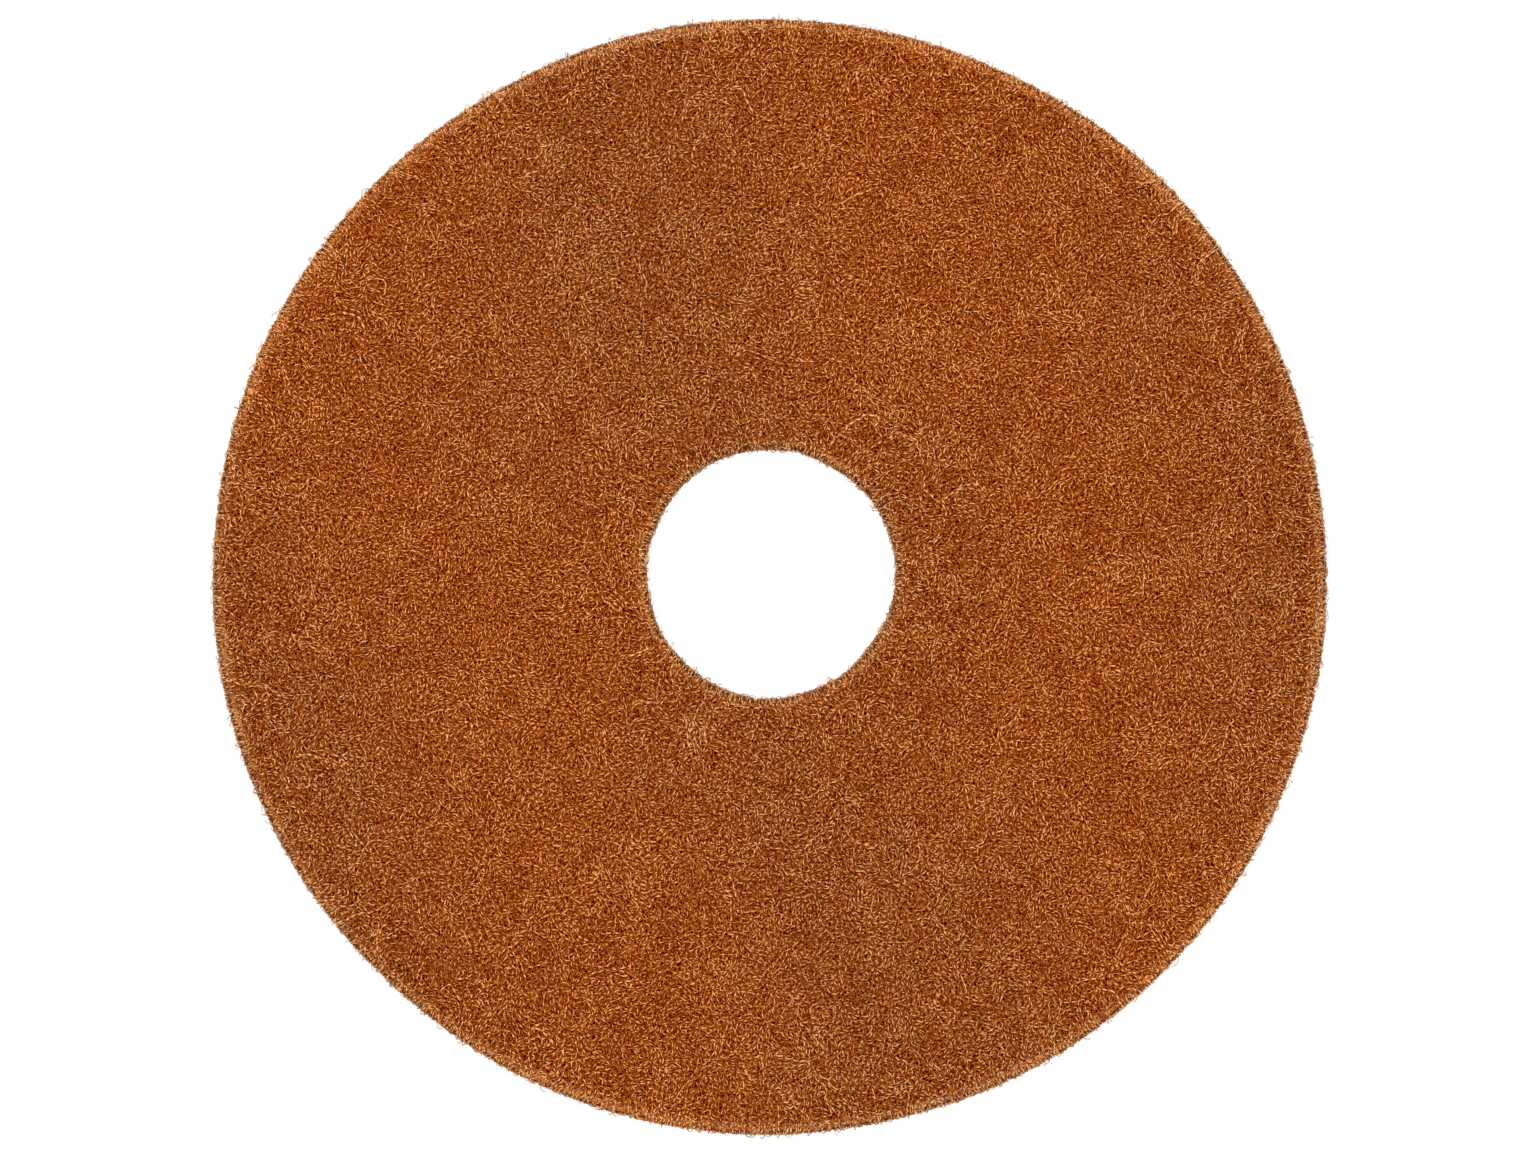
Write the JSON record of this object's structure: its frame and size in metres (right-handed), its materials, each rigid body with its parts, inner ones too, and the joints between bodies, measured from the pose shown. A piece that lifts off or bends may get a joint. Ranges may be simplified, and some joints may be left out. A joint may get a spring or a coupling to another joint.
{
  "type": "floor polishing pad",
  "caption": "Thick round pad of bonded crimped fibre with a centre hole, for polishing floors under a rotary machine.",
  "frame": {"origin": "centre of the pad's underside, on the axis it spins about", "axes": "+Z along the spin axis, up through the pad from the floor side to the driver side; X and Y are any two square directions in the floor"},
  "size_m": [0.382, 0.3826, 0.025],
  "materials": {
    "tan_fibre": "matte"
  },
  "bodies": {
    "root": {"fibre_pad": "tan_fibre"}
  },
  "joints": []
}
